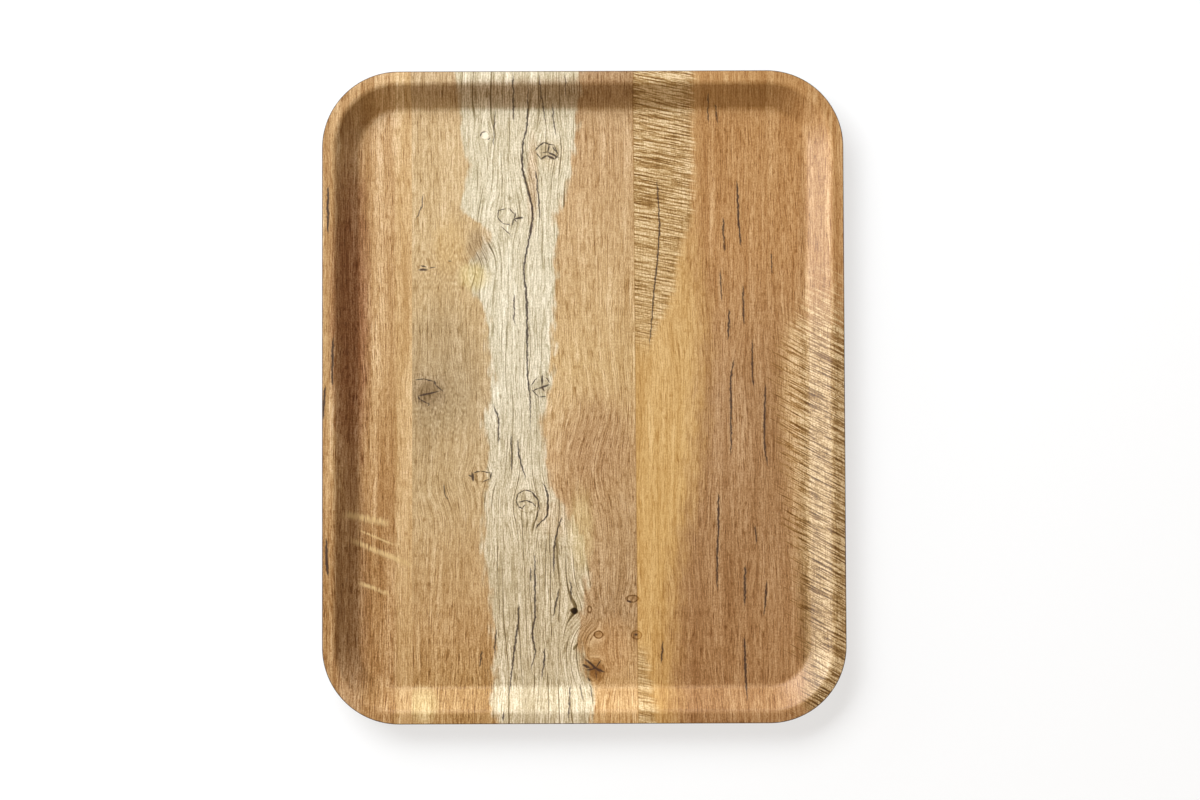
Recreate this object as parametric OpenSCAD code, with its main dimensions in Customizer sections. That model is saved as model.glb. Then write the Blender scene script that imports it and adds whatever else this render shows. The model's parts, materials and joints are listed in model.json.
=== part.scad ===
// Serving tray, pressed in one piece from a stack of laminate sheets.
// The tray stands on Z = 0 with its origin under the middle of the floor.
// X runs across the tray, Y along it and Z up.

/* [Plan] */
// Overall length, along Y
tray_length = 450; // [360:5:600]
// Overall width, along X
tray_width = 360; // [280:5:480]
// Plan radius of the four outer corners
corner_radius = 53; // [50:1:80]
// Plan radius of the flat floor's four corners
floor_radius = 26; // [20:1:28]

/* [Rim] */
// Slope of the wall, from the horizontal. This one's sine and cosine have just six decimals
wall_angle = 41.2194; // [38:0.0001:60]
// Length of the straight part of the wall, up its slope
slope_length = 17; // [12:0.5:18]
// Radius of the cove between the floor and the wall, on the serving side
cove_radius = 6; // [4:0.5:6]
// Radius of the bend between the wall and the lip, on the serving side
bend_radius = 6; // [4:0.5:6]
// Radius of the sanded rounding along both sides of the cut edge
edge_radius = 0.5; // [0.2:0.1:1]

/* [Lay-up] */
// Thickness of the clear melamine overlay
overlay_thickness = 0.15; // [0.1:0.05:0.3]
// Thickness of the printed decor sheet
decor_thickness = 0.2; // [0.1:0.05:0.3]
// Number of kraft plies in the core
core_plies = 8; // [5:1:10]
// Thickness of each kraft ply
core_ply_thickness = 0.225; // [0.2:0.005:0.27]
// Thickness of the balancing sheet on the underside
backing_thickness = 0.25; // [0.15:0.05:0.3]

/* [Hidden] */
$fn = 128;

// Depths of the sheets, measured square to the serving surface
core_depth = overlay_thickness + decor_thickness;
backing_depth = core_depth + core_plies * core_ply_thickness;
thickness = backing_depth + backing_thickness;

// The lip takes what the cove, the slope and the bend leave of the border
curves = cove_radius + bend_radius;
wall_width = curves * sin(wall_angle) + slope_length * cos(wall_angle);
lip_width = corner_radius - floor_radius - wall_width;

// Places of the corners' centres
corner_x = tray_width / 2 - corner_radius;
corner_y = tray_length / 2 - corner_radius;

// Part of a flat ring about the origin, from straight down round to the wall's slope
module slope_arc(inner_radius, outer_radius) {
    reach = 2 * outer_radius;
    intersection() {
        difference() {
            circle(r = outer_radius);
            circle(r = inner_radius);
        }
        translate([0, -reach])
            square(reach);
        rotate(wall_angle)
            translate([-reach, -reach])
                square(reach);
    }
}

// Section of the lip's whole thickness below the X axis, with both sides of its cut edge rounded
module rounded_lip() {
    translate([0, -thickness])
        square([lip_width - edge_radius, thickness]);
    translate([0, edge_radius - thickness])
        square([lip_width, thickness - 2 * edge_radius]);
    for (height = [edge_radius - thickness, -edge_radius])
        translate([lip_width - edge_radius, height])
            circle(r = edge_radius);
}

// Section of one sheet in the rim, between two depths below the serving surface.
// Its X is the distance out from a corner's centre and its Y the height.
module rim_section(top_depth, bottom_depth) {
    translate([floor_radius, thickness + cove_radius]) {
        slope_arc(cove_radius + top_depth, cove_radius + bottom_depth);
        rotate(wall_angle) {
            translate([0, -cove_radius - bottom_depth])
                square([slope_length, bottom_depth - top_depth]);
            translate([slope_length, -curves])
                rotate(-wall_angle)
                    bend_and_lip(top_depth, bottom_depth);
        }
    }
}

// The rest of that section, from the top of the slope out to the cut edge, about the bend's centre
module bend_and_lip(top_depth, bottom_depth) {
    rotate(180)
        slope_arc(bend_radius - bottom_depth, bend_radius - top_depth);
    intersection() {
        translate([0, bend_radius - bottom_depth])
            square([lip_width, bottom_depth - top_depth]);
        translate([0, bend_radius])
            rounded_lip();
    }
}

// Plan of the flat floor: a rectangle with the cove's rounded corners
module floor_plan() {
    square([2 * corner_x, 2 * (corner_y + floor_radius)], center = true);
    square([2 * (corner_x + floor_radius), 2 * corner_y], center = true);
    for (x = [-corner_x, corner_x], y = [-corner_y, corner_y])
        translate([x, y])
            circle(r = floor_radius);
}

// One straight stretch of a sheet's rim, square to X at a distance out from the tray's middle
module rim_side(top_depth, bottom_depth, distance, length) {
    translate([distance, 0, 0])
        rotate([90, 0, 0])
            linear_extrude(length, center = true)
                rim_section(top_depth, bottom_depth);
}

// One whole sheet of the lay-up, at its depth below the serving surface
module sheet(top_depth, sheet_thickness) {
    bottom_depth = top_depth + sheet_thickness;
    translate([0, 0, thickness - bottom_depth])
        linear_extrude(sheet_thickness)
            floor_plan();
    for (turn = [0, 180]) {
        rotate([0, 0, turn])
            rim_side(top_depth, bottom_depth, corner_x, 2 * corner_y);
        rotate([0, 0, turn + 90])
            rim_side(top_depth, bottom_depth, corner_y, 2 * corner_x);
    }
    for (corner = [[1, 1, 0], [-1, 1, 90], [-1, -1, 180], [1, -1, 270]])
        translate([corner.x * corner_x, corner.y * corner_y, 0])
            rotate([0, 0, corner.z])
                rotate_extrude(angle = 90)
                    rim_section(top_depth, bottom_depth);
}

// Clear melamine sheet that makes the glossy serving surface
module wear_overlay() {
    color([0.86, 0.76, 0.60, 0.35])
        sheet(0, overlay_thickness);
}

// Printed paper that carries the picture of oak boards
module decor_sheet() {
    color([0.66, 0.50, 0.33])
        sheet(overlay_thickness, decor_thickness);
}

// One kraft paper ply of the core, counted from the serving side
module core_ply(ply) {
    color(ply % 2 == 0 ? [0.20, 0.12, 0.07] : [0.26, 0.16, 0.10])
        sheet(core_depth + (ply - 1) * core_ply_thickness, core_ply_thickness);
}

// Plain melamine sheet that balances the decor on the underside
module backing_sheet() {
    color([0.30, 0.21, 0.14])
        sheet(backing_depth, backing_thickness);
}

wear_overlay();
decor_sheet();
for (ply = [1:core_plies])
    core_ply(ply);
backing_sheet();
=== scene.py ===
"""Looks of the pressed laminate serving tray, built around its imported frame.

Lengths are in mm in the tray's own frame, X across and Y along the grain. The studio's are in metres.
"""

import json
import math

import bmesh
import bpy
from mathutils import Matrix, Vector


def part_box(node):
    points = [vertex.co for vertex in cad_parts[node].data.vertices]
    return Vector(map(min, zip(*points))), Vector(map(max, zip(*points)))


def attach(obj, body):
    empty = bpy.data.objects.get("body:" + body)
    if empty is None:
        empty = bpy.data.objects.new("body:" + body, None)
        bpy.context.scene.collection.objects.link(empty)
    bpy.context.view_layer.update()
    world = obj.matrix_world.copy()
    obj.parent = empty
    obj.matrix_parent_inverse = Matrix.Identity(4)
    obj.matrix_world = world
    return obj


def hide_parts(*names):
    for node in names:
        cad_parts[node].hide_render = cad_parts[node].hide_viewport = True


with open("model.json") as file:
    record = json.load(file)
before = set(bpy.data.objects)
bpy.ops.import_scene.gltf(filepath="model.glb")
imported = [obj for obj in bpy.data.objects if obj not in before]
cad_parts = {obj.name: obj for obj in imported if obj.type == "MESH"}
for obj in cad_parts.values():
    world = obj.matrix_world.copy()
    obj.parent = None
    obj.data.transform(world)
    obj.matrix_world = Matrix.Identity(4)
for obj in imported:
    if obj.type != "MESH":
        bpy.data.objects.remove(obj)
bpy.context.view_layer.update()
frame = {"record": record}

MM = 0.001

# The rim's section, as in the CAD
CORNER_RADIUS = 53
FLOOR_RADIUS = 26
WALL_ANGLE = math.radians(41.2194)
SLOPE_LENGTH = 17
COVE_RADIUS = 6
BEND_RADIUS = 6
EDGE_RADIUS = 0.5
CORE_PLIES = 8

# How finely the meshes follow it
CORNER_STEPS = 36
COVE_STEPS = 10
BEND_STEPS = 10
EDGE_STEPS = 6
CREASE_ANGLE = math.radians(40)


# ---- sheets

def serving_height():
    """Height of the serving surface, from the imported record."""
    mounts = frame["record"]["mounts"]
    surface = next(mount for mount in mounts if mount["name"] == "serving_surface")
    return surface["pos_m"][2] / MM


THICKNESS = serving_height()
# The cut edge is rounded above and below, so a ply in its middle gives the outline
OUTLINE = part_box("core_ply_4")[1]
HALF_WIDTH = OUTLINE.x / MM
HALF_LENGTH = OUTLINE.y / MM
CURVES = COVE_RADIUS + BEND_RADIUS
BEND_OUT = FLOOR_RADIUS + CURVES * math.sin(WALL_ANGLE) + SLOPE_LENGTH * math.cos(WALL_ANGLE)
BEND_UP = THICKNESS + COVE_RADIUS + SLOPE_LENGTH * math.sin(WALL_ANGLE) - CURVES * math.cos(WALL_ANGLE)
LIP_WIDTH = CORNER_RADIUS - BEND_OUT


def depth_below(node):
    """Depth of a CAD sheet's underside below the serving surface."""
    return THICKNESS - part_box(node)[0].z / MM


def lip_reach(depth):
    """Distance from the bend's centre out to the cut edge at a depth, with both its sides rounded."""
    nearest = min(depth, THICKNESS - depth)
    inset = max(EDGE_RADIUS - nearest, 0)
    return LIP_WIDTH - EDGE_RADIUS + math.sqrt(EDGE_RADIUS ** 2 - inset ** 2)


def lip_end(depth):
    """Point of the cut edge at a depth."""
    return BEND_OUT + lip_reach(depth), BEND_UP + BEND_RADIUS - depth


def surface_rows(depth):
    """Points from the cove to the end of the lip, as (distance from a corner's centre, height)."""
    rows = []
    for step in range(COVE_STEPS + 1):
        turn = WALL_ANGLE * step / COVE_STEPS
        out = FLOOR_RADIUS + (COVE_RADIUS + depth) * math.sin(turn)
        rows.append((out, THICKNESS + COVE_RADIUS - (COVE_RADIUS + depth) * math.cos(turn)))
    for step in range(BEND_STEPS + 1):
        turn = WALL_ANGLE * (1 - step / BEND_STEPS)
        out = BEND_OUT - (BEND_RADIUS - depth) * math.sin(turn)
        rows.append((out, BEND_UP + (BEND_RADIUS - depth) * math.cos(turn)))
    rows.append(lip_end(depth))
    return rows


def edge_rows(top_depth, bottom_depth):
    """Points down the cut edge, between the ends of the lip's two faces."""
    fall = bottom_depth - top_depth
    return [lip_end(top_depth + fall * step / EDGE_STEPS) for step in range(1, EDGE_STEPS)]


def stations():
    """Corner centre and outward direction at each step round the tray."""
    corner_x = HALF_WIDTH - CORNER_RADIUS
    corner_y = HALF_LENGTH - CORNER_RADIUS
    places = []
    for quarter, (side_x, side_y) in enumerate(((1, 1), (-1, 1), (-1, -1), (1, -1))):
        for step in range(CORNER_STEPS + 1):
            turn = math.radians(90) * (quarter + step / CORNER_STEPS)
            centre = (side_x * corner_x, side_y * corner_y)
            places.append((centre, (math.cos(turn), math.sin(turn))))
    return places


def rim_points(rows, places):
    """Every row's points, one at each station round the tray."""
    points = []
    for out, height in rows:
        for centre, direction in places:
            points.append((centre[0] + out * direction[0], centre[1] + out * direction[1], height))
    return points


def rim_faces(row_count, count):
    """Quads between each row of points and the next."""
    faces = []
    for row in range(row_count - 1):
        low = row * count
        for place in range(count):
            following = (place + 1) % count
            faces.append((low + place, low + following, low + count + following, low + count + place))
    return faces


def floor_faces(first_ring, first_centre, count):
    """Fans at the corners, strips along the sides and one panel in the middle."""
    per_corner = CORNER_STEPS + 1
    faces = [tuple(first_centre + corner for corner in range(4))]
    for corner in range(4):
        here = first_centre + corner
        start = first_ring + corner * per_corner
        for step in range(CORNER_STEPS):
            faces.append((here, start + step, start + step + 1))
        following = first_ring + (corner + 1) * per_corner % count
        beside = first_centre + (corner + 1) % 4
        faces.append((here, start + CORNER_STEPS, following, beside))
    return faces


def sheet_piece(name, top_depth, bottom_depth, materials):
    """One closed sheet of the tray between two depths. The last material goes on its cut edge."""
    top = surface_rows(top_depth)
    rows = top + edge_rows(top_depth, bottom_depth) + surface_rows(bottom_depth)[::-1]
    places = stations()
    count = len(places)
    points = rim_points(rows, places)
    faces = rim_faces(len(rows), count)
    for ring, depth in ((0, top_depth), (len(rows) - 1, bottom_depth)):
        first_centre = len(points)
        for corner in range(4):
            centre = places[corner * (CORNER_STEPS + 1)][0]
            points.append((centre[0], centre[1], THICKNESS - depth))
        faces += floor_faces(ring * count, first_centre, count)
    mesh = bpy.data.meshes.new(name)
    mesh.from_pydata([Vector(point) * MM for point in points], [], faces)
    for material in materials:
        mesh.materials.append(material)
    for index in range((len(top) - 1) * count, (len(top) + EDGE_STEPS - 1) * count):
        mesh.polygons[index].material_index = len(materials) - 1
    return finished(name, mesh)


def finished(name, mesh):
    """The mesh as an object, with its normals outward and smooth except at real creases."""
    body = bmesh.new()
    body.from_mesh(mesh)
    bmesh.ops.recalc_face_normals(body, faces=body.faces)
    body.to_mesh(mesh)
    body.free()
    mesh.shade_smooth()
    mesh.set_sharp_from_angle(angle=CREASE_ANGLE)
    piece = placed(name, mesh)
    shading = piece.modifiers.new("even_shading", "WEIGHTED_NORMAL")
    shading.keep_sharp = True
    return piece


def placed(name, data):
    """A mesh, lamp or camera as an object in the scene."""
    thing = bpy.data.objects.new(name, data)
    bpy.context.scene.collection.objects.link(thing)
    return thing


# ---- node helpers

class Value:
    """A number or colour that varies over a surface, made by a chain of nodes."""

    def __init__(self, tree, socket):
        self.tree = tree
        self.socket = socket

    def math(self, operation, *terms):
        node = self.tree.nodes.new("ShaderNodeMath")
        node.operation = operation
        for slot, term in zip(node.inputs, (self, *terms)):
            plug(slot, term)
        return Value(self.tree, node.outputs[0])

    def __add__(self, other):
        return self.math("ADD", other)

    def __sub__(self, other):
        return self.math("SUBTRACT", other)

    def __mul__(self, other):
        return self.math("MULTIPLY", other)

    def __abs__(self):
        return self.math("ABSOLUTE")

    def times_plus(self, factor, more):
        """This value times a factor, plus more."""
        return self.math("MULTIPLY_ADD", factor, more)

    def either(self, other):
        """The larger of the two."""
        return self.math("MAXIMUM", other)

    def rise(self, low, high):
        """0 at low and 1 at high, eased. It falls instead where low is the larger."""
        node = self.tree.nodes.new("ShaderNodeMapRange")
        node.interpolation_type = "SMOOTHSTEP"
        node.clamp = False
        plug(node.inputs["Value"], self)
        plug(node.inputs["From Min"], low)
        plug(node.inputs["From Max"], high)
        return Value(self.tree, node.outputs["Result"])


def plug(slot, term):
    """Gives a node's input a varying value or a constant."""
    if isinstance(term, Value):
        term.tree.links.new(term.socket, slot)
    else:
        slot.default_value = term


def largest(values):
    """The largest of several values."""
    found = None
    for value in values:
        found = value if found is None else found.either(value)
    return found


def local(vector, x=0, y=0, turn=0, width=1, height=1):
    """Coordinates about a point, turned by so many degrees, in units of a width and height."""
    node = vector.tree.nodes.new("ShaderNodeMapping")
    node.vector_type = "TEXTURE"
    plug(node.inputs["Vector"], vector)
    node.inputs["Location"].default_value = (x, y, 0)
    node.inputs["Rotation"].default_value = (0, 0, math.radians(turn))
    node.inputs["Scale"].default_value = (width, height, 1)
    return Value(vector.tree, node.outputs[0])


def noise(vector, width, height, seed, detail=1.0, turn=0):
    """Noise about zero, with grains of about that width and height."""
    place = local(vector, SEED_STEP_X * seed, SEED_STEP_Y * seed, turn, width, height)
    node = vector.tree.nodes.new("ShaderNodeTexNoise")
    node.noise_dimensions = "2D"
    plug(node.inputs["Vector"], place)
    node.inputs["Scale"].default_value = 1
    node.inputs["Detail"].default_value = detail
    return Value(vector.tree, node.outputs["Fac"]) - 0.5


def layer(vector, name):
    """One of the print's layers of noise."""
    return noise(vector, *LAYERS[name])


def parts_of(vector):
    """X and Y of a vector."""
    node = vector.tree.nodes.new("ShaderNodeSeparateXYZ")
    plug(node.inputs[0], vector)
    return Value(vector.tree, node.outputs[0]), Value(vector.tree, node.outputs[1])


def joined(x, y):
    """A vector of two values and 1, for `about` and for textures."""
    node = x.tree.nodes.new("ShaderNodeCombineXYZ")
    plug(node.inputs[0], x)
    plug(node.inputs[1], y)
    node.inputs[2].default_value = 1
    return Value(x.tree, node.outputs[0])


def along_axis(flat, x, y, turn, unit):
    """Distance from a point along an axis turned by so many degrees, in units of that length."""
    cosine = math.cos(math.radians(turn)) / unit
    sine = math.sin(math.radians(turn)) / unit
    node = flat.tree.nodes.new("ShaderNodeVectorMath")
    node.operation = "DOT_PRODUCT"
    plug(node.inputs[0], flat)
    node.inputs[1].default_value = (cosine, sine, -x * cosine - y * sine)
    return Value(flat.tree, node.outputs["Value"])


def about(flat, x, y, turn, width, height):
    """Distances across and up from a point, on turned axes, in units of a width and a height."""
    return along_axis(flat, x, y, turn, width), along_axis(flat, x, y, turn + 90, height)


def squared_reach(flat, x, y, turn, width, height):
    """0 at a point and 1 on the ellipse round it; the distance's square between."""
    across, up = about(flat, x, y, turn, width, height)
    return up.times_plus(up, across * across)


def blend(share, first, second):
    """First colour where share is 0 and second where it is 1."""
    node = share.tree.nodes.new("ShaderNodeMix")
    node.data_type = "RGBA"
    plug(node.inputs[0], share)
    plug(node.inputs[6], first)
    plug(node.inputs[7], second)
    return Value(share.tree, node.outputs[2])


def gamma(colour, power):
    """The colour with its pigment laid on so many times as thick."""
    node = colour.tree.nodes.new("ShaderNodeGamma")
    plug(node.inputs["Color"], colour)
    plug(node.inputs["Gamma"], power)
    return Value(colour.tree, node.outputs[0])


def scaled(colour, share):
    """The colour with all its channels times a number."""
    node = colour.tree.nodes.new("ShaderNodeVectorMath")
    node.operation = "SCALE"
    plug(node.inputs[0], colour)
    plug(node.inputs["Scale"], share)
    return Value(colour.tree, node.outputs[0])


def stained(colour, density):
    """The colour with so much more of its own pigment and of a neutral dark one on it."""
    thicker = gamma(colour, density.times_plus(OWN_PIGMENT, 1))
    return scaled(thicker, (density * math.log(NEUTRAL_PIGMENT)).math("EXPONENT"))


def ink(red, green, blue):
    """A printed colour, from its 0 to 255 screen values, as a linear reflectance by the sRGB curve, with
    the painted haze added.
    """
    channels = []
    for value, gain, haze_lift in zip((red, green, blue), PRINT_GAIN, PAINTED_HAZE_LIFT):
        value /= 255
        linear = value / 12.92 if value < 0.04045 else ((value + 0.055) / 1.055) ** 2.4
        # The lift is painted haze, added to every ink
        channels.append(linear * gain + haze_lift)
    return (*channels, 1)


def share_along(y):
    """Y as a share of the length that the curves and ramps cover."""
    return (y + PRINT_REACH_Y) / (2 * PRINT_REACH_Y)


def tones(along, stops):
    """Colour along the tray's length, from stops of (Y, screen colour)."""
    node = along.tree.nodes.new("ShaderNodeValToRGB")
    plug(node.inputs[0], along)
    ramp = node.color_ramp
    stops = sorted(stops)
    while len(ramp.elements) < len(stops):
        ramp.elements.new(0.5)
    for element, (y, colour) in zip(ramp.elements, stops):
        element.position = share_along(y)
        element.color = ink(*colour)
    return Value(along.tree, node.outputs[0])


def curve_over(along, points):
    """A number from 0 to 1 that follows two or more points of (Y, number)."""
    node = along.tree.nodes.new("ShaderNodeFloatCurve")
    plug(node.inputs["Value"], along)
    curve = node.mapping.curves[0]
    for place, (y, number) in enumerate(sorted(points)):
        if place < 2:
            curve.points[place].location = (share_along(y), number)
        else:
            curve.points.new(share_along(y), number)
    for point in curve.points:
        point.handle_type = "AUTO_CLAMPED"
    node.mapping.update()
    return Value(along.tree, node.outputs[0])


def line_over(along, points):
    """X of a line that runs along the tray through points of (Y, X)."""
    shares = [(y, (x + PRINT_REACH_X) / (2 * PRINT_REACH_X)) for y, x in points]
    return curve_over(along, shares).times_plus(2 * PRINT_REACH_X, -PRINT_REACH_X)


def new_material(name):
    """A material with its shader, and the place on the tray as a vector."""
    material = bpy.data.materials.new(name)
    material.use_nodes = True
    tree = material.node_tree
    shader = tree.nodes["Principled BSDF"]
    coordinates = tree.nodes.new("ShaderNodeTexCoord")
    place = Value(tree, coordinates.outputs["Object"])
    return material, shader, local(place, width=MM, height=MM)


def add_relief(shader, height, strength, depth):
    """A faint texture in the shader's gloss, from a height that varies and its depth."""
    bump = height.tree.nodes.new("ShaderNodeBump")
    bump.inputs["Strength"].default_value = strength
    bump.inputs["Distance"].default_value = depth * MM
    plug(bump.inputs["Height"], height)
    height.tree.links.new(bump.outputs[0], shader.inputs["Normal"])


# ---- values of the oak print

# From the screen colours in the tables below to linear reflectances. The lift, and the gain's slightly
# bluer balance, are painted haze: they stand in for the pale reflection of the key, which the gloss shows
# only weakly
PRINT_GAIN = (0.80, 0.83, 0.81)
PAINTED_HAZE_LIFT = (0.0, 0.002, 0.009)

# Its gloss: the roughness, how much that varies, and the index of refraction
PRINT_ROUGHNESS = 0.44
PRINT_SHEEN = 0.12
PRINT_IOR = 1.7

# Half the width and length of the print that the curves and ramps cover
PRINT_REACH_X = 190
PRINT_REACH_Y = 230

# How far apart two neighbouring seeds read the noise
SEED_STEP_X = 517.3
SEED_STEP_Y = 291.7

# Layers of noise: width and height of their grains, seed and detail
LAYERS = {
    "wobble": (2.6, 3.4, 1, 2.0),
    "rag": (5, 16, 2, 2.5),
    "wander": (30, 130, 3, 1.0),
    "bands": (9, 210, 4, 1.0),
    "streaks": (3.0, 90, 5, 2.0),
    "fibre": (1.0, 50, 6, 2.0),
    "fleck": (0.8, 9, 7, 1.0),
    "grit": (0.9, 1.2, 48, 0.0),
    "stipple": (1.3, 2.4, 45, 2.0),
    "pores": (0.9, 15, 8, 1.0),
    "ticks": (0.65, 5, 49, 0.0),
    "ripple": (8, 70, 9, 1.0),
    "line_breaks": (5, 55, 10, 1.0),
    "greyed": (5, 45, 11, 1.0),
    "comb": (1.1, 1.3, 46, 2.0),
    "shake": (3.1, 2.4, 47, 2.0),
    "sheen": (6, 9, 40, 2.0),
    "relief": (0.9, 1.1, 41, 1.0),
}

# How far these layers move what they bend
RAG_REACH = 14
WANDER_REACH = 9
SHAKE_REACH = 1.1
CRACK_SHAKE = 1.9
# Past each joint the grain is read this much further off, so that it doesn't run on across it
BOARD_B_SHIFT = 400
BOARD_C_SHIFT = 700

# How much each part of the grain darkens the print
STREAK_STRENGTH = 0.5
FIBRE_STRENGTH = 1.3
FLECK_STRENGTH = 1.1
GRIT_STRENGTH = 0.75
STIPPLE_STRENGTH = 1.9
STIPPLE_SHADE = 0.08
PORE_STRENGTH = 0.7
TICK_STRENGTH = 0.55
SAP_LINE_STRENGTH = 1.9
SAP_GREY_STRENGTH = 0.75
COMB_STRENGTH = 1.7
JOINT_STRENGTH = 0.4
# How far these cover the print
STRIP_STRENGTH = 0.8
SAWN_LEFT_STRENGTH = 0.75
SAWN_RIGHT_STRENGTH = 0.8
SCUFF_STRENGTH = 0.7
SPLIT_STRENGTH = 0.92
# Strength of the broad bands, and what board B and the red part of board C add to it
BAND_STRENGTH = 1.4
BAND_ON_B = -0.9
BAND_ON_RED = 0.15
# What the sapwood, board C and its red part add to the strength of the fine grain, which is 1
FINE_ON_SAPWOOD = 0.3
FINE_ON_C = -0.35
FINE_ON_RED = 0.15
# How pale the fine grain and the whole print may get
PALEST_GRAIN = -0.4
PALEST_PRINT = -0.65
# Radians of the sapwood's dark lines per mm across, and how many the ripple adds
SAP_LINES = 1.35
SAP_RIPPLE = 9
# Level at which a pore, a tick, a dark line and an unbroken stretch of it start and are complete
PORE_SPAN = (0.14, 0.2)
TICK_SPAN = (0.17, 0.24)
SAP_LINE_SPAN = (0.86, 0.99)
UNBROKEN_SPAN = (-0.06, 0.12)
# What density 1 does: more of the colour's own pigment, and the light left by a neutral one
OWN_PIGMENT = 0.58
NEUTRAL_PIGMENT = 0.84

# X of the joints between the three printed boards, the second one's lean and their blur
JOINT_AB = -118.7
JOINT_BC = 36.0
JOINT_BC_LEAN = -0.0045
JOINT_BLUR = 0.3

# Tones down each board: Y and colour
BOARD_A = (
    (225, (196, 156, 108)), (0, (199, 160, 110)), (-60, (192, 150, 99)), (-110, (179, 136, 84)),
    (-180, (176, 132, 80)),
)
BOARD_B_LEFT = (
    (225, (196, 166, 126)), (207, (196, 164, 120)), (190, (206, 175, 131)), (140, (208, 178, 134)),
    (60, (204, 174, 130)), (0, (196, 168, 128)), (-60, (198, 168, 124)), (-120, (196, 160, 112)),
    (-165, (187, 147, 96)), (-200, (178, 137, 82)),
)
BOARD_B_RIGHT = (
    (225, (184, 148, 108)), (205, (188, 152, 108)), (180, (198, 161, 117)), (100, (203, 168, 122)),
    (20, (208, 174, 124)), (-40, (196, 158, 112)), (-100, (188, 152, 108)), (-150, (180, 144, 101)),
    (-175, (188, 148, 98)), (-210, (204, 162, 108)),
)
SAPWOOD = (
    (225, (220, 205, 177)), (100, (222, 209, 183)), (0, (224, 211, 186)), (-90, (213, 195, 164)),
    (-140, (207, 188, 156)), (-210, (211, 192, 160)),
)
BOARD_C_GOLD = (
    (225, (200, 158, 100)), (50, (206, 165, 105)), (-90, (210, 168, 104)), (-190, (204, 160, 96)),
)
BOARD_C_RED = (
    (225, (188, 142, 88)), (100, (184, 138, 86)), (0, (175, 134, 90)), (-100, (171, 129, 84)),
    (-210, (169, 124, 76)),
)

# Tones that are the same all down the board
STRIP_INK = (214, 178, 128)
SAWN_LEFT_INK = (202, 172, 126)
SAWN_RIGHT_INK = (208, 172, 122)
# The sawn tone on the right wall's slope, darker as painted shade
SAWN_RIM_SHADE_INK = (174, 143, 96)
SCUFF_INK = (232, 200, 144)
SPLIT_INK = (62, 42, 26)

# Edges of the pale sapwood band, of the golden part of board C and of its sawn areas: Y and X
BAND_LEFT = (
    (224, -88), (187, -83), (160, -81), (133, -83), (113, -66), (94, -76), (75, -77), (60, -68),
    (42, -66), (9, -63), (-24, -68), (-44, -66), (-71, -67), (-104, -71), (-138, -65), (-177, -62),
    (-203, -63), (-223, -61),
)
BAND_RIGHT = (
    (224, -1), (173, -6), (147, -10), (120, -19), (94, -19), (42, -21), (15, -23), (-4, -25),
    (-18, -29), (-44, -26), (-64, -22), (-78, -12), (-113, 3), (-135, 1), (-156, -4), (-184, -1),
    (-205, 8), (-219, 5),
)
GOLD_RIGHT = (
    (224, 72), (110, 76), (60, 83), (0, 81), (-60, 75), (-100, 67), (-150, 61), (-224, 60),
)
SAWN_LEFT_EDGE = (
    (224, 76), (125, 75), (111, 71), (101, 67), (73, 62), (40, 48), (20, 44), (-160, 42), (-224, 49),
)
SAWN_RIGHT_EDGE = (
    (100, 150), (64, 144), (49, 139), (31, 136), (-2, 135), (-37, 139), (-71, 143), (-106, 146),
    (-140, 151), (-168, 152), (-209, 150),
)

# Where areas start and are complete, in X or in mm past their edge, and in Y for the last
JOINT_SPAN = (0.7, 0.1)
STRIP_SPAN = (-133, -128)
RIGHT_TONES_SPAN = (-40, -25)
BAND_LEFT_SPAN = (-3.0, 2.4)
BAND_RIGHT_SPAN = (2.6, -2.6)
GOLD_RIGHT_SPAN = (-14, 14)
SAWN_LEFT_SPAN = (3.5, -3.5)
SAWN_RIGHT_SPAN = (-7, 8)
# Painted shade of the sawn area, from the right floor's edge onto the wall
SAWN_RIM_SHADE_SPAN = (144, 160)
SAWN_RIGHT_TOP_SPAN = (84, 34)

# The same for places in shares of an ellipse: squared for patches, burls and splits
PATCH_SPAN = (1.5, 0.05)
BURL_SPAN = (1.3, 0.4)
SPLIT_SPAN = (1.44, 0.2)
FILL_SPAN = (1.05, 0.55)
SCUFF_SIDE_SPAN = (1.1, 0.1)
SCUFF_END_SPAN = (1.1, 0.6)
# And for the grain that breaks up a scuff
SCUFF_GAP_SPAN = (0.4, -0.05)

# How much the ragged line, the wobble and the grain move these edges
STRIP_RAG = 0.25
SAWN_LEFT_RAG = 0.3
PATCH_RAG = 0.05
BURL_RAG = 0.08
KNOT_WOBBLE = 0.35
SCUFF_FRAY = 0.9

# Half width of a knot's ring, and a split's half sizes as shares of its length and half width
RING_HALF_WIDTH = 0.715
SPLIT_LENGTH = 0.56
SPLIT_WIDTH = 1.25

# Saw marks: their slant in degrees and seed, width and height of the long and of the short ones
LEFT_MARKS = (-11, 20)
RIGHT_MARKS = (-29, 24)
LONG_MARK = (34, 1.15)
SHORT_MARK = (8, 0.75)
LONG_MARK_STRENGTH = 1.5
# The left ones' strength, and what is added to it between two places up the tray
LEFT_MARK_STRENGTH = 2.8
LEFT_MARK_EXTRA = 1.2
LEFT_MARK_SPAN = (80, 200)
RIGHT_MARK_STRENGTH = 3.7
# What darkens all the marks of an area, and how pale the gaps between them may get
LEFT_MARK_LIFT = 0.09
RIGHT_MARK_LIFT = 0.03
PALEST_MARK = -0.13
# What the grain's strength, which is 1, loses there
SAWN_GRAIN = -0.45
# How far the marks fray the edges of the sawn areas
LEFT_FRAY = 5
RIGHT_FRAY = 22
RIGHT_TOP_FRAY = 60

# Strength of board C's left sawn area along it: Y and strength
SAWN_LEFT_ALONG = ((-230, 0.9), (-180, 0.8), (-166, 0), (15, 0), (45, 0.8), (90, 1), (230, 1))

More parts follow.
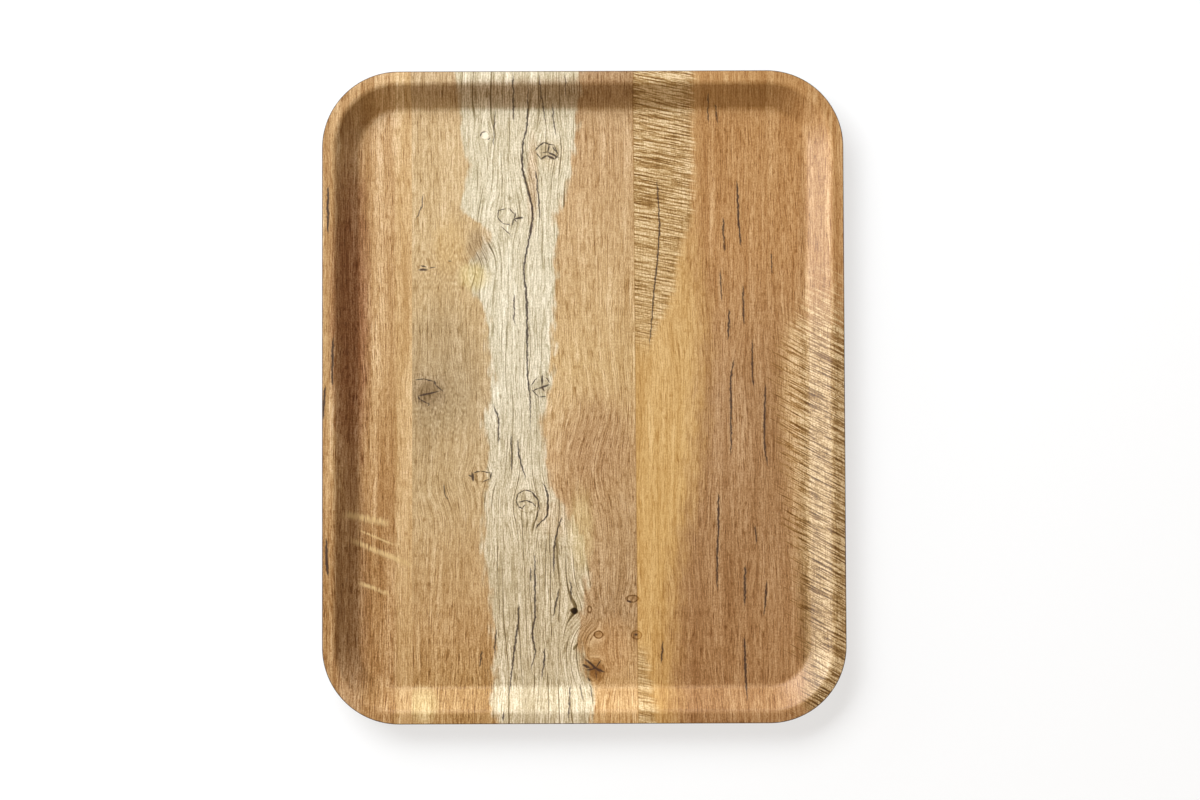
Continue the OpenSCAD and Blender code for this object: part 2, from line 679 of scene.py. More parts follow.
# Grain that swells round a knot or leans: x, y, half width, half height, swell, lean
FLOWS = (
    (-25, 171, 15, 17, 0.55, 0.0),
    (-52, 126, 13, 15, 0.5, 0.0),
    (-67, 182, 8, 9, 0.6, 0.0),
    (-111, 90, 10, 9, 0.5, 0.0),
    (-106, 3, 15, 19, 0.6, 0.0),
    (-29, 8, 12, 14, 0.5, 0.0),
    (-73, -55, 11, 9, 0.6, 0.0),
    (-39, -74, 15, 17, 0.6, 0.0),
    (-7, -148, 10, 12, 0.6, 0.0),
    (9, -163, 9, 10, 0.6, 0.0),
    (7, -188, 14, 16, 0.7, 0.0),
    (34, -140, 9, 12, 0.6, 0.0),
    (8, -28, 22, 34, 0.0, 0.36),
    (-74, 100, 13, 17, 0.0, -0.5),
    (-98, -72, 18, 22, 0.0, -0.25),
    (-4, -160, 14, 20, 0.0, 0.6),
)

# Cracks: half width, then points of (x, y) down the crack
CRACKS = (
    (0.62, (-37, 226), (-38, 206), (-39, 187), (-42, 172), (-42, 161), (-39, 147), (-35, 127), (-37, 112),
     (-41, 88), (-39.5, 72), (-39, 50), (-39, 22), (-37, -5), (-37, -31), (-35, -56)),
    (0.6, (-31, -56), (-25, -71), (-25, -80), (-32, -89), (-35, -98)),
    (0.55, (-35, -101), (-34, -124), (-34, -150), (-36, -164), (-34, -175), (-37, -190), (-34, -202)),
    (0.5, (-48, 224), (-48, 187)),
    (0.4, (-34, 161), (-31, 140), (-28, 118)),
    (0.35, (-110, 143), (-112, 132), (-117, 120)),
    (0.4, (-48, 74), (-48, 54), (-43, 46)),
    (0.45, (-63, -2), (-59, -16), (-59, -38)),
    (0.5, (-46, -26), (-45, -38), (-40, -62)),
    (0.35, (-50, -23), (-50, -56)),
    (0.4, (-97, -58), (-92, -73)),
    (0.5, (-15, -79), (-19, -95), (-21, -111), (-21, -128)),
    (0.5, (-17, -132), (-22, -154)),
    (0.52, (-44, -137), (-46, -157), (-49, -180), (-53, -213)),
    (0.45, (-55, -216), (-56, -224)),
    (0.4, (-10, -124), (-9, -145)),
    (0.5, (-27, -171), (-28, -184), (-30, -196)),
    (0.45, (-37, -116), (-37, -130)),
    (0.4, (-60, -158), (-62, -182)),
    (0.4, (-70, -174), (-72, -189)),
    (0.35, (-10, -197), (-11, -224)),
    (0.35, (-3, -198), (-1, -210)),
    (0.35, (3, -198), (5, -208)),
    (0.35, (-21, 205), (-20, 189), (-18, 178)),
    (0.35, (-30, 224), (-29, 212), (-27, 200), (-24, 186)),
    (0.3, (-12, 224), (-11, 205)),
    (0.3, (-61, 200), (-62, 170)),
    (0.45, (50, 160), (52, 140), (53, 120), (52, 101), (49, 73), (46, 38), (43, 17)),
    (0.32, (87, 211), (87, 187)),
    (0.32, (92, 204), (94, 187)),
    (0.56, (106, 155), (108, 120), (110, 96)),
    (0.5, (97, 127), (99, 96)),
    (0.36, (95, 90), (96, 62)),
    (0.56, (101, 63), (99, 35)),
    (0.46, (110, 80), (112, 45)),
    (0.46, (117, 43), (117, 17), (118, 0)),
    (0.32, (130, 101), (131, 83)),
    (0.56, (105, 32), (102, 11), (102, -26), (101, -51)),
    (0.56, (126, 14), (125, -26), (127, -47), (130, -58)),
    (0.62, (93, -60), (93, -82), (92, -114), (92, -145)),
    (0.46, (118, -88), (119, -105)),
    (0.62, (112, -114), (110, -150)),
    (0.46, (126, -125), (124, -153)),
    (0.62, (110, -162), (111, -184), (112, -212)),
    (0.45, (54, -167), (52, -187)),
    (0.7, (-175, 149), (-176, 128), (-175, 107)),
    (0.7, (-172, 45), (-173, 1)),
    (0.7, (-177, 10), (-179, -20)),
    (0.8, (-177, -95), (-175, -128)),
)

# A crack's half width at shares of its length, as a share of the widest
CRACK_SHAPE = ((0, 0), (0.12, 0.7), (0.45, 1), (0.8, 0.65), (1, 0))
# Least room along Y between two cracks on one line
CRACK_GAP = 5
# Range of the curves that hold half widths, and a crack's at its ends: below zero it is shut
CRACK_LEAST = -0.8
CRACK_MOST = 1.2
CRACK_ENDS = -0.5
# Distance inside a crack's edge at which it starts and is complete
CRACK_SPAN = (-0.5, 0.35)

# Knots: x, y, half width, half height, lean in degrees, ring, fill
KNOTS = (
    (-68, 182, 3.2, 2.8, 0, 0.4, -0.35),
    (-25, 171, 8.0, 5.6, -8, 0.5, 0.35),
    (-50.5, 138.2, 1.9, 1.7, 0, 0.0, 0.8),
    (-53, 125, 6.2, 5.8, 0, 0.2, 0.1),
    (-107, 4, 9.5, 10.0, 0, 0.0, 0.3),
    (-29, 7.5, 6.6, 6.8, 0, 0.3, 0.45),
    (-70, -55, 6.2, 3.6, 0, 0.5, 0.0),
    (-39, -72, 8.4, 7.8, 0, 0.7, 0.15),
    (-6.9, -147.8, 3.2, 2.5, -25, 0.0, 4.5),
    (3.7, -146.9, 1.4, 2.1, 0, 1.1, -0.2),
    (9.75, -164.3, 2.9, 2.4, 0, 1.7, 0.45),
    (-6.2, -172.6, 1.1, 3.3, -38, 0.0, 1.8),
    (-12.8, -172.8, 1.5, 6.0, -18, 0.0, 0.8),
    (6.9, -188.3, 8.2, 7.6, 20, 0.4, 0.95),
    (33.2, -139.6, 3.9, 2.3, 0, 1.2, 0.1),
    (36.0, -164.6, 3.4, 2.8, 0, 1.0, 0.4),
)

# Fine splits in and about the knots: x and y of the two ends, half width
SPLITS = (
    (-33, 171.5, -30, 175, 0.35), (-31, 174.5, -26.5, 177.2, 0.4), (-27, 177, -20, 174.8, 0.4),
    (-20, 175, -16.8, 168, 0.35), (-17, 168.2, -19.5, 165.2, 0.35), (-19.5, 165.4, -25, 168, 0.7),
    (-25, 168, -29, 165.4, 0.6), (-29, 165.6, -32.5, 170, 0.3), (-23.5, 176, -24, 170.3, 0.45),
    (-24.5, 170.5, -17, 166.5, 0.6), (-28, 170, -24, 170.5, 0.3), (-21, 174, -18.5, 170, 0.4),
    (-58.8, 130, -59.3, 125, 0.28), (-59.3, 125.5, -56, 120.7, 0.32), (-56.2, 120.8, -50, 119.4, 0.28),
    (-59, 129.5, -54, 131, 0.35), (-51.5, 131.2, -47.5, 127.5, 0.35), (-48, 124, -41.6, 124.6, 0.65),
    (-48, 124, -49, 119.6, 0.45), (-47.8, 124, -46.8, 128, 0.4), (-48, 124.2, -46, 121.4, 0.35),
    (-57, 119, -50, 112, 0.28), (-71.2, 181.3, -70.3, 184.2, 0.5), (-70.6, 184, -67.6, 184.7, 0.4),
    (-64.2, 180.6, -66, 179, 0.3), (-116, 12.5, -110, 12.9, 0.3), (-110.5, 12.8, -103.5, 11, 0.3),
    (-103.4, 12, -102.6, 8.5, 0.5), (-102.6, 8.7, -97.5, 4.4, 0.4), (-114.2, 1, -99.9, 4.4, 0.5),
    (-114.5, 0.8, -113.4, -1.6, 0.5), (-113.6, -1.4, -107, -4.6, 0.38), (-107, -3.2, -107.5, -6, 0.3),
    (-28.6, 15, -28.8, 8, 0.6), (-31, 6, -23.8, 8.6, 0.75), (-28.8, 8, -27.2, 4, 0.5),
    (-30.8, 6.2, -35.4, 4.4, 0.35), (-36, 5, -31, 0.2, 0.35), (-31, 0.2, -26, 0.4, 0.3),
    (-36.5, 8, -32, 13.5, 0.28), (-26, 13.6, -23.5, 10, 0.3), (-77.4, -52, -76.6, -58, 0.85),
    (-79.8, -53.6, -76.8, -55.2, 0.5), (-76, -52.2, -72, -51.2, 0.32), (-72, -51.2, -64.5, -52.2, 0.28),
    (-63.9, -52.2, -64.8, -56.4, 0.45), (-64.8, -56.4, -70, -58.6, 0.32), (-47, -72, -45.5, -66.6, 0.32),
    (-45.8, -67, -41, -64.3, 0.32), (-41, -64.2, -36, -65.4, 0.42), (-36.2, -65.3, -31.6, -71.6, 0.5),
    (-31.4, -71, -31, -78, 0.35), (-31.2, -77.5, -33.2, -86, 0.32), (-44.6, -72.6, -40, -71.5, 0.48),
    (-40.5, -71.4, -35, -73.4, 0.4), (-35.4, -73, -33.2, -76, 0.3), (-47, -71.6, -45, -75.8, 0.35),
    (-45.2, -75.6, -42.4, -77.4, 0.42), (-42.6, -77.2, -40.8, -74.2, 0.32), (-1.3, -184.9, 3.5, -187, 0.7),
    (0.4, -181, 10.8, -190, 0.75), (1.3, -188.7, 7.8, -187.5, 0.55), (6.9, -187.5, 13.8, -190, 0.6),
    (8.2, -186.6, 11.2, -182.3, 0.45), (7.8, -188.7, 8.2, -194.8, 0.28), (2.2, -193.9, 3.9, -196.5, 0.45),
    (-113.8, 88.6, -107.8, 88.8, 0.8), (-113, 91.6, -108.7, 90.5, 0.4), (-106.9, 89.9, -102.2, 90.4, 0.32),
    (-93.6, 94.8, -91.4, 94.4, 0.4), (34.8, -164, 36.8, -164.4, 0.7), (29.4, -141, 32.5, -142, 0.5),
)

# Stippled, burly grain: x, y, half width, half height
BURLS = ((-93, 88, 26, 20), (-98, -12, 22, 26))

# Patches of another tone on board B, the last one partly painted shade: x, y, half width, half height,
# strength, colour
TONE_AND_SHADE_PATCHES = (
    (-93, 106, 12, 20, 0.4, (214, 178, 120)),
    (-72, 104, 9, 14, 0.55, (162, 136, 102)),
    (-76, 84, 11, 10, 0.75, (230, 208, 156)),
    (-96, 0, 24, 28, 0.35, (178, 156, 120)),
    (-35, 150, 4, 34, 0.55, (208, 174, 136)),
    (-22, 168, 12, 11, 0.35, (206, 182, 142)),
    (-2, -92, 9, 30, 0.55, (220, 194, 142)),
    (-20, -84, 12, 14, 0.3, (205, 170, 130)),
    (20, -172, 13, 22, 0.5, (196, 150, 98)),
    (-108, -18, 8, 30, 0.2, (170, 146, 110)),
    (8, -30, 24, 32, 0.5, (174, 134, 92)),
    (-111, -212, 11, 13, 0.5, (228, 202, 146)),
    (-99, 28, 26, 42, 0.5, (176, 150, 112)),
    (-107, 4, 13, 13, 0.45, (156, 132, 102)),
    # Painted shade along the top wall, with the print's browner tone there
    (-10, 211, 120, 10, 0.5, (160, 118, 74)),
)

# Patches over the side walls' slopes, the same columns: mostly painted shade that darkens the walls, with
# some of the print's darker streak on the left wall
WALL_SHADE_PATCHES = (
    (-161, 54, 14, 122, 0.9, (148, 95, 53)),
    (-161, -140, 13, 110, 0.65, (172, 132, 91)),
    (161, -95, 14, 135, 0.85, (146, 113, 72)),
    (161, 95, 12, 110, 0.5, (168, 128, 84)),
)

# Pale scuffs on board A: x and y of the middle, length, half width, angle
SCUFFS = (
    (-141, -107, 48, 2.6, -23),
    (-145, -132, 25, 2.0, -20),
    (-150, -84, 34, 3.5, -12),
    (-143, -97, 30, 1.0, -23),
)


# ---- oak print

class Oak:
    """What the print's steps share, and later ones add to. An area is 1 inside and 0 outside."""

    def __init__(self, place):
        self.place = place
        self.x, self.y = parts_of(place)
        self.flat = joined(self.x, self.y)
        self.along = self.y.times_plus(1 / (2 * PRINT_REACH_Y), 0.5)
        self.wobble = layer(place, "wobble")
        self.rag = layer(place, "rag") * RAG_REACH
        self.ragged_x = self.x + self.rag
        self.on_b = self.x.rise(JOINT_AB - JOINT_BLUR, JOINT_AB + JOINT_BLUR)
        self.from_joint = self.x - self.y.times_plus(JOINT_BC_LEAN, JOINT_BC)
        self.on_c = self.from_joint.rise(-JOINT_BLUR, JOINT_BLUR)


def patched(colour, oak, patches):
    """The colour with soft patches of other tones on it, some of which are painted shade."""
    for x, y, width, height, strength, tone in patches:
        reach = oak.rag.times_plus(PATCH_RAG, squared_reach(oak.flat, x, y, 0, width, height))
        colour = blend(reach.rise(*PATCH_SPAN) * strength, colour, ink(*tone))
    return colour


def board_a_colour(oak):
    """Board A's tones, with a paler strip along its joint."""
    colour = tones(oak.along, BOARD_A)
    strip = (oak.x + oak.rag * STRIP_RAG).rise(*STRIP_SPAN)
    return blend(strip * STRIP_STRENGTH, colour, ink(*STRIP_INK))


def sapwood_band(oak):
    """1 in the pale sapwood down board B and 0 outside it."""
    left_edge = line_over(oak.along, BAND_LEFT)
    right_edge = line_over(oak.along, BAND_RIGHT)
    past_left = (oak.ragged_x - left_edge).rise(*BAND_LEFT_SPAN)
    return past_left * (oak.ragged_x - right_edge).rise(*BAND_RIGHT_SPAN)


def board_b_colour(oak):
    """Board B's tones, with the sapwood band and its patches, one of which paints shade on the top wall.
    """
    colour = tones(oak.along, BOARD_B_LEFT)
    on_right = oak.x.rise(*RIGHT_TONES_SPAN)
    colour = blend(on_right, colour, tones(oak.along, BOARD_B_RIGHT))
    oak.band = sapwood_band(oak)
    colour = blend(oak.band, colour, tones(oak.along, SAPWOOD))
    return patched(colour, oak, TONE_AND_SHADE_PATCHES)


def boards_colour(oak):
    """The three boards' tones before their grain, with painted shade on the side walls. It sets the band
    and the red part of board C.
    """
    colour = board_b_colour(oak)
    colour = blend(oak.on_b, board_a_colour(oak), colour)
    oak.band = oak.band * oak.on_b * (oak.on_c * -1 + 1)
    colour = blend(oak.on_c, colour, tones(oak.along, BOARD_C_GOLD))
    past_gold = (oak.ragged_x - line_over(oak.along, GOLD_RIGHT)).rise(*GOLD_RIGHT_SPAN)
    oak.red = past_gold * oak.on_c
    colour = blend(oak.red, colour, tones(oak.along, BOARD_C_RED))
    # Painted shade on the side walls
    return patched(colour, oak, WALL_SHADE_PATCHES)


def sawn_streaks(place, turn, seed):
    """Streaks of saw marks that run at an angle, about zero."""
    long_marks = noise(place, *LONG_MARK, seed, 2.0, turn)
    short_marks = noise(place, *SHORT_MARK, seed + 1, 2.0, turn)
    return long_marks * LONG_MARK_STRENGTH + short_marks


def left_sawn_area(oak):
    """Board C's sawn area by its joint: strong down to Y 45, gone by 15, and back at the bottom."""
    partly_ragged = oak.ragged_x * SAWN_LEFT_RAG + oak.x * (1 - SAWN_LEFT_RAG)
    frayed = oak.marks_left.times_plus(LEFT_FRAY, partly_ragged)
    area = (frayed - line_over(oak.along, SAWN_LEFT_EDGE)).rise(*SAWN_LEFT_SPAN)
    return area * oak.on_c * curve_over(oak.along, SAWN_LEFT_ALONG)


def right_sawn_area(oak):
    """Board C's sawn area at the right rim, with an edge that the saw marks fray."""
    frayed = oak.marks_right.times_plus(RIGHT_FRAY, oak.x)
    area = (frayed - line_over(oak.along, SAWN_RIGHT_EDGE)).rise(*SAWN_RIGHT_SPAN)
    frayed_top = oak.marks_right.times_plus(RIGHT_TOP_FRAY, oak.y)
    return area * frayed_top.rise(*SAWN_RIGHT_TOP_SPAN)


def sawn_colour(oak, colour):
    """The colour with the tones of the sawn areas on it, darker on the right wall as painted shade. It
    sets those areas and their marks.
    """
    oak.marks_left = sawn_streaks(oak.place, *LEFT_MARKS)
    oak.marks_right = sawn_streaks(oak.place, *RIGHT_MARKS)
    oak.sawn_left = left_sawn_area(oak)
    oak.sawn_right = right_sawn_area(oak)
    colour = blend(oak.sawn_left * SAWN_LEFT_STRENGTH, colour, ink(*SAWN_LEFT_INK))
    # Painted shade: the sawn tone darkens onto the right wall
    shaded_rim = oak.x.rise(*SAWN_RIM_SHADE_SPAN)
    tone = blend(shaded_rim, ink(*SAWN_RIGHT_INK), ink(*SAWN_RIM_SHADE_INK))
    return blend(oak.sawn_right * SAWN_RIGHT_STRENGTH, colour, tone)


def grain_flow(x, flat):
    """X after the grain's bending round the knots, so that fibres drawn straight in it bend too."""
    bent = x
    for knot_x, knot_y, width, height, swell, lean in FLOWS:
        across, up = about(flat, knot_x, knot_y, 0, width, height)
        fade = (up.times_plus(up, across * across) * -1).math("EXPONENT")
        if swell:
            bent = (across * fade).times_plus(-swell * width, bent)
        if lean:
            bent = (up * fade).times_plus(-lean * height, bent)
    return bent


def follow_grain(oak):
    """Sets the coordinates that the fibres are drawn straight in."""
    bent = grain_flow(oak.x, oak.flat)
    wander = layer(oak.place, "wander") * WANDER_REACH
    oak.bent = bent + wander + oak.on_b * BOARD_B_SHIFT + oak.on_c * BOARD_C_SHIFT
    oak.grain = joined(oak.bent, oak.y)


def broad_grain(oak):
    """Density of the broad bands and streaks. The bands are weak on board B."""
    strength = oak.red.times_plus(BAND_ON_RED, oak.on_b.times_plus(BAND_ON_B, BAND_STRENGTH))
    bands = layer(oak.grain, "bands") * strength
    return layer(oak.grain, "streaks").times_plus(STREAK_STRENGTH, bands)


def burly(oak):
    """1 where the grain is stippled and 0 elsewhere."""
    areas = []
    for x, y, width, height in BURLS:
        reach = oak.rag.times_plus(BURL_RAG, squared_reach(oak.flat, x, y, 0, width, height))
        areas.append(reach.rise(*BURL_SPAN))
    return largest(areas)


def fine_grain(oak):
    """Density of the fibres, flecks and grit, and of the stipple in their place on the burls."""
    oak.fibre = layer(oak.grain, "fibre")
    oak.fleck = layer(oak.grain, "fleck")
    grit = layer(oak.place, "grit") * GRIT_STRENGTH
    fine = oak.fibre.times_plus(FIBRE_STRENGTH, oak.fleck.times_plus(FLECK_STRENGTH, grit))
    fine = fine.either(PALEST_GRAIN)
    on_burl = burly(oak) * oak.on_b
    stipple = layer(oak.place, "stipple").times_plus(STIPPLE_STRENGTH, STIPPLE_SHADE)
    return (stipple - fine).times_plus(on_burl, fine)


def pores_and_ticks(oak):
    """Density of the dark pores and the short ticks."""
    pores = layer(oak.grain, "pores").rise(*PORE_SPAN)
    ticks = layer(oak.grain, "ticks").rise(*TICK_SPAN)
    return pores.times_plus(PORE_STRENGTH, ticks * TICK_STRENGTH)


def wood_grain(oak):
    """Density of the grain: livelier on the sapwood and quieter on board C."""
    density = broad_grain(oak)
    fine = fine_grain(oak)
    on_c = oak.red.times_plus(FINE_ON_RED, oak.on_c.times_plus(FINE_ON_C, 1.0))
    lively = oak.band.times_plus(FINE_ON_SAPWOOD, on_c)
    density = fine.times_plus(lively, density)
    return (pores_and_ticks(oak) * lively).times_plus(1.0, density)


def sapwood_lines(oak, density):
    """The density with the sapwood's long dark lines and grey streaks."""
    ripple = layer(oak.grain, "ripple") * SAP_RIPPLE
    lines = oak.bent.times_plus(SAP_LINES, ripple).math("SINE").rise(*SAP_LINE_SPAN)
    lines = lines * layer(oak.grain, "line_breaks").rise(*UNBROKEN_SPAN)
    grey = layer(oak.grain, "greyed") * SAP_GREY_STRENGTH
    return lines.times_plus(SAP_LINE_STRENGTH, grey) * oak.band + density


def saw_marks(oak, density):
    """The density with saw marks in place of nearly half the grain in the sawn areas."""
    strength = oak.y.rise(*LEFT_MARK_SPAN).times_plus(LEFT_MARK_EXTRA, LEFT_MARK_STRENGTH)
    left_marks = (oak.marks_left + LEFT_MARK_LIFT).either(PALEST_MARK) * strength
    marks = left_marks * oak.sawn_left
    right_marks = (oak.marks_right + RIGHT_MARK_LIFT).either(PALEST_MARK) * RIGHT_MARK_STRENGTH
    marks = right_marks.times_plus(oak.sawn_right, marks)
    sawn = oak.sawn_left.either(oak.sawn_right)
    comb = layer(oak.place, "comb") * COMB_STRENGTH
    density = density * (sawn * SAWN_GRAIN + 1) + comb * sawn
    return density + marks


def add_knot(density, oak, knot):
    """The density with one knot's ring and fill drawn on it."""
    x, y, width, height, lean, ring, fill = knot
    distance = squared_reach(oak.flat, x, y, lean, width, height).math("SQRT")
    reach = oak.wobble.times_plus(KNOT_WOBBLE, distance)
    if ring:
        line = RING_HALF_WIDTH / min(width, height)
        density = abs(reach - 1).rise(line, 0).times_plus(ring, density)
    if fill:
        density = reach.rise(*FILL_SPAN).times_plus(fill, density)
    return density


def print_density(oak):
    """How much darker or paler than its board's tone each place of the print is."""
    density = wood_grain(oak)
    density = sapwood_lines(oak, density)
    density = saw_marks(oak, density)
    for knot in KNOTS:
        density = add_knot(density, oak, knot)
    return density + abs(oak.from_joint).rise(*JOINT_SPAN) * JOINT_STRENGTH


def scuff(flat, flecks, x, y, length, half, turn):
    """A pale scuff, broken up by the grain."""
    across, up = about(flat, x, y, turn, length / 2, half)
    line = abs(flecks.times_plus(SCUFF_FRAY, up)).rise(*SCUFF_SIDE_SPAN)
    line = line * abs(across).rise(*SCUFF_END_SPAN)
    return line * flecks.rise(*SCUFF_GAP_SPAN)


def crack_tracks():
    """Cracks packed into as few lines along the tray as keep them apart."""
    tracks = []
    for crack in sorted(CRACKS, key=lambda item: -item[1][1]):
        top = crack[1][1]
        for track in tracks:
            if track[-1][-1][1] - top > CRACK_GAP:
                track.append(crack)
                break
        else:
            tracks.append([crack])
    return tracks


def crack_widths(half, top, bottom):
    """Points of (Y, half width as a share of the curves' range) down one crack."""
    points = []
    for share, part in CRACK_SHAPE:
        here = half * part if part else CRACK_ENDS
        points.append((top + (bottom - top) * share, (here - CRACK_LEAST) / (CRACK_MOST - CRACK_LEAST)))
    return points


def track_depth(oak, track, shake):
    """1 in one track's cracks and 0 outside them."""
    middle = []
    widths = []
    for half, *points in track:
        middle += [(y, x) for x, y in points]
        widths += crack_widths(half, points[0][1], points[-1][1])
    middle_x = line_over(oak.along, middle)
    half_width = curve_over(oak.along, widths).times_plus(CRACK_MOST - CRACK_LEAST, CRACK_LEAST)
    return (half_width - abs(oak.x - middle_x + shake)).rise(*CRACK_SPAN)


def split_lens(shaken, x0, y0, x1, y1, half):
    """1 in a thin lens between two points and 0 outside it."""
    turn = math.degrees(math.atan2(y1 - y0, x1 - x0))
    length = math.hypot(x1 - x0, y1 - y0)
    half_length = length * SPLIT_LENGTH
    reach = squared_reach(shaken, (x0 + x1) / 2, (y0 + y1) / 2, turn, half_length, half * SPLIT_WIDTH)
    return reach.rise(*SPLIT_SPAN)


def splits_and_cracks(oak):
    """1 in the long cracks and in the fine splits about the knots, and 0 outside them."""
    shaken_x = oak.wobble.times_plus(SHAKE_REACH, oak.x)
    shaken_y = layer(oak.place, "shake").times_plus(SHAKE_REACH, oak.y)
    shaken = joined(shaken_x, shaken_y)
    shake = oak.wobble * CRACK_SHAKE
    cracks = largest(track_depth(oak, track, shake) for track in crack_tracks())
    return cracks.either(largest(split_lens(shaken, *ends) for ends in SPLITS))


def oak_colour(oak):
    """The whole print's colour."""
    colour = boards_colour(oak)
    colour = sawn_colour(oak, colour)
    follow_grain(oak)
    colour = stained(colour, print_density(oak).either(PALEST_PRINT))
    for mark in SCUFFS:
        share = scuff(oak.flat, oak.fibre + oak.fleck, *mark) * SCUFF_STRENGTH
        colour = blend(share, colour, ink(*SCUFF_INK))
    return blend(splits_and_cracks(oak) * SPLIT_STRENGTH, colour, ink(*SPLIT_INK))


def oak_print():
    """Semi-gloss melamine over a print of three reclaimed oak boards."""
    material, shader, place = new_material("oak_print")
    plug(shader.inputs["Base Color"], oak_colour(Oak(place)))
    plug(shader.inputs["Roughness"], layer(place, "sheen").times_plus(PRINT_SHEEN, PRINT_ROUGHNESS))
    shader.inputs["IOR"].default_value = PRINT_IOR
    add_relief(shader, layer(place, "relief"), strength=0.25, depth=0.01)
    return material


# Brown laminates: colour, seed and roughness
KRAFT_DARK = ((0.055, 0.030, 0.018), 50, 0.5)
KRAFT_LIGHT = ((0.105, 0.058, 0.034), 60, 0.55)
BROWN_MELAMINE = ((0.075, 0.045, 0.028), 70, 0.42)
# Width and height of their grains
FINE_MOTTLE = (1.1, 1.4)
BROAD_MOTTLE = (14, 18)
GLOSS_MOTTLE = (3, 3)
PAPER_TEXTURE = (0.6, 0.6)


def brown_laminate(name, colour, seed, roughness):
    """Dark resin-filled paper or plain melamine, with a fine mottle and a faint texture."""
    material, shader, place = new_material(name)
    tree = material.node_tree
    mottle = noise(place, *FINE_MOTTLE, seed, 3.0).times_plus(1.1, 1)
    mottle = noise(place, *BROAD_MOTTLE, seed + 1, 2.0).times_plus(0.5, mottle)
    base = Value(tree, tree.nodes.new("ShaderNodeRGB").outputs[0])
    base.socket.default_value = (*colour, 1)
    plug(shader.inputs["Base Color"], gamma(base, mottle))
    plug(shader.inputs["Roughness"], noise(place, *GLOSS_MOTTLE, seed + 2, 2.0).times_plus(0.2, roughness))
    add_relief(shader, noise(place, *PAPER_TEXTURE, seed + 3, 2.0), strength=0.4, depth=0.03)
    return material


# ---- the tray

def printed_face(edge_material):
    """The clear overlay and the printed paper under it, pressed into one skin."""
    piece = sheet_piece("printed_face", 0, depth_below("decor_sheet"), [oak_print(), edge_material])
    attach(piece, "root")
    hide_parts("wear_overlay", "decor_sheet")


def kraft_layers(edge_material):
    """The core's plies, darker and lighter in turn, as they show at the cut edge."""
    lighter = brown_laminate("kraft_light", *KRAFT_LIGHT)
    above = depth_below("decor_sheet")
    for ply in range(1, CORE_PLIES + 1):
        node = f"core_ply_{ply}"
        below = depth_below(node)
        piece = sheet_piece(f"kraft_layer_{ply}", above, below, [lighter if ply % 2 else edge_material])
        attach(piece, "root")
        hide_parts(node)
        above = below


def base_sheet():
    """The plain brown sheet under the tray."""
    material = brown_laminate("brown_melamine", *BROWN_MELAMINE)
    above = depth_below(f"core_ply_{CORE_PLIES}")
    piece = sheet_piece("base_sheet", above, THICKNESS, [material])
    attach(piece, "root")
    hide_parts("backing_sheet")


# ---- studio

# Camera: distances in metres, angles in radians, lens and sensor in millimetres
CAMERA_DISTANCE = 2.404
CAMERA_TILT = math.radians(2.5)
CAMERA_ROLL = math.radians(-0.2)
CAMERA_FOCAL = 104.4
CAMERA_SENSOR = 36
CAMERA_REACH = 20
CAMERA_TARGET = Vector((11.0 * MM, -2.4 * MM, 8 * MM))

# Lamps: name, azimuth, elevation, distance, width, height, watts, colour, whether the gloss shows it.
# The key's own reflection would whiten the tray from the front right, so its weak twin is shown instead.
# The twin is a little further off, because two lamps in one place lose light.
WHITE = (1.0, 1.0, 1.0)
LAMPS = (
    ("key", 129, 38.5, 3.2, 3.2, 1.7, 192, WHITE, False),
    ("key_gloss", 129, 38.5, 3.26, 3.2, 1.7, 32, WHITE, True),
    ("low_strip", 148, 9, 3.2, 5.2, 0.9, 90, WHITE, True),
    ("warm_fill", -68, 34, 3.0, 2.5, 2.0, 24, (1.0, 0.56, 0.16), True),
)
SKY_COLOUR = (1.0, 0.97, 0.94, 1)
SKY_STRENGTH = 0.03

TABLE_HALF = 3
TABLE_COLOUR = (0.245, 0.256, 0.266)
TABLE_GLOW = 0.70
BACKDROP_RADIUS = 3
BACKDROP_HEIGHT = 4
BACKDROP_SIDES = 48
BACKDROP_COLOUR = (0.02, 0.02, 0.02)
BACKDROP_GLOW = 0.95


def add_camera():
    """The camera at the photograph's viewpoint, nearly straight above the tray."""
    camera = bpy.data.cameras.new("camera")
    camera.lens = CAMERA_FOCAL
    camera.sensor_width = CAMERA_SENSOR
    camera.clip_end = CAMERA_REACH
    view = placed("camera", camera)
    towards_camera = Vector((0, -math.sin(CAMERA_TILT), math.cos(CAMERA_TILT)))
    view.location = CAMERA_TARGET + CAMERA_DISTANCE * towards_camera
    view.rotation_euler = (CAMERA_TILT, 0, CAMERA_ROLL)
    bpy.context.scene.camera = view


def soft_box(name, azimuth, elevation, distance, width, height, power, colour, mirrored):
    """A rectangular lamp that faces the tray, and shows in its gloss or not."""
    lamp = bpy.data.lights.new(name, "AREA")
    lamp.shape = "RECTANGLE"
    lamp.size = width
    lamp.size_y = height
    lamp.energy = power
    lamp.color = colour
    box = placed(name, lamp)
    around = math.radians(azimuth)
    up = math.radians(elevation)
    level = math.cos(up)
    box.location = distance * Vector((math.cos(around) * level, math.sin(around) * level, math.sin(up)))
    box.rotation_euler = (-box.location).to_track_quat("-Z", "Y").to_euler()
    box.visible_camera = False
    box.visible_glossy = mirrored


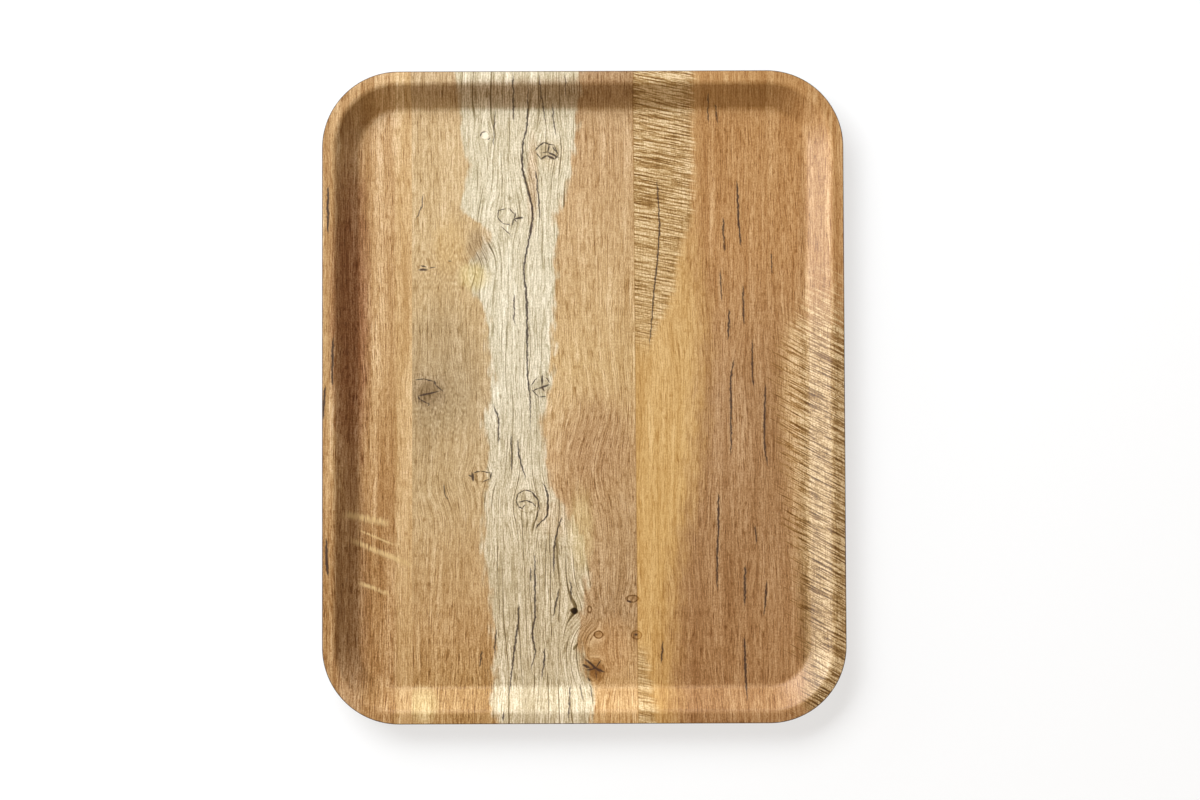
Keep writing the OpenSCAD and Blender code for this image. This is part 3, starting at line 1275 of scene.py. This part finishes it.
def add_lights():
    """The lamps and a faint even sky."""
    for lamp in LAMPS:
        soft_box(*lamp)
    world = bpy.data.worlds.new("studio")
    world.use_nodes = True
    sky = world.node_tree.nodes["Background"]
    sky.inputs["Color"].default_value = SKY_COLOUR
    sky.inputs["Strength"].default_value = SKY_STRENGTH
    bpy.context.scene.world = world
    bpy.context.scene.view_settings.view_transform = "Standard"


def stage_piece(name, points, faces, material_name, colour, roughness, glow):
    """A piece of the stage, in a matt material that gives off an even white light of its own."""
    mesh = bpy.data.meshes.new(name)
    mesh.from_pydata(points, [], faces)
    piece = placed(name, mesh)
    material = bpy.data.materials.new(material_name)
    material.use_nodes = True
    shader = material.node_tree.nodes["Principled BSDF"]
    shader.inputs["Base Color"].default_value = (*colour, 1)
    shader.inputs["Roughness"].default_value = roughness
    shader.inputs["Emission Color"].default_value = (1, 1, 1, 1)
    shader.inputs["Emission Strength"].default_value = glow
    mesh.materials.append(material)
    return piece


def add_stage():
    """The white table that the tray stands on."""
    corners = [(x * TABLE_HALF, y * TABLE_HALF, 0) for x, y in ((-1, -1), (1, -1), (1, 1), (-1, 1))]
    stage_piece("table", corners, [(0, 1, 2, 3)], "white_table", TABLE_COLOUR, 0.9, TABLE_GLOW)


def add_backdrop():
    """A pale wall round the studio that the camera sees, and that lights and shades nothing."""
    points = []
    faces = []
    for side in range(BACKDROP_SIDES):
        turn = 2 * math.pi * side / BACKDROP_SIDES
        for height in (0, BACKDROP_HEIGHT):
            points.append((BACKDROP_RADIUS * math.cos(turn), BACKDROP_RADIUS * math.sin(turn), height))
        low = 2 * side
        following = 2 * ((side + 1) % BACKDROP_SIDES)
        faces.append((low, low + 1, following + 1, following))
    wall = stage_piece("backdrop", points, faces, "backdrop_paper", BACKDROP_COLOUR, 1.0, BACKDROP_GLOW)
    wall.visible_diffuse = False
    wall.visible_glossy = False
    wall.visible_shadow = False


kraft_dark = brown_laminate("kraft_dark", *KRAFT_DARK)
add_camera()
printed_face(kraft_dark)
kraft_layers(kraft_dark)
base_sheet()
add_stage()
add_backdrop()
add_lights()
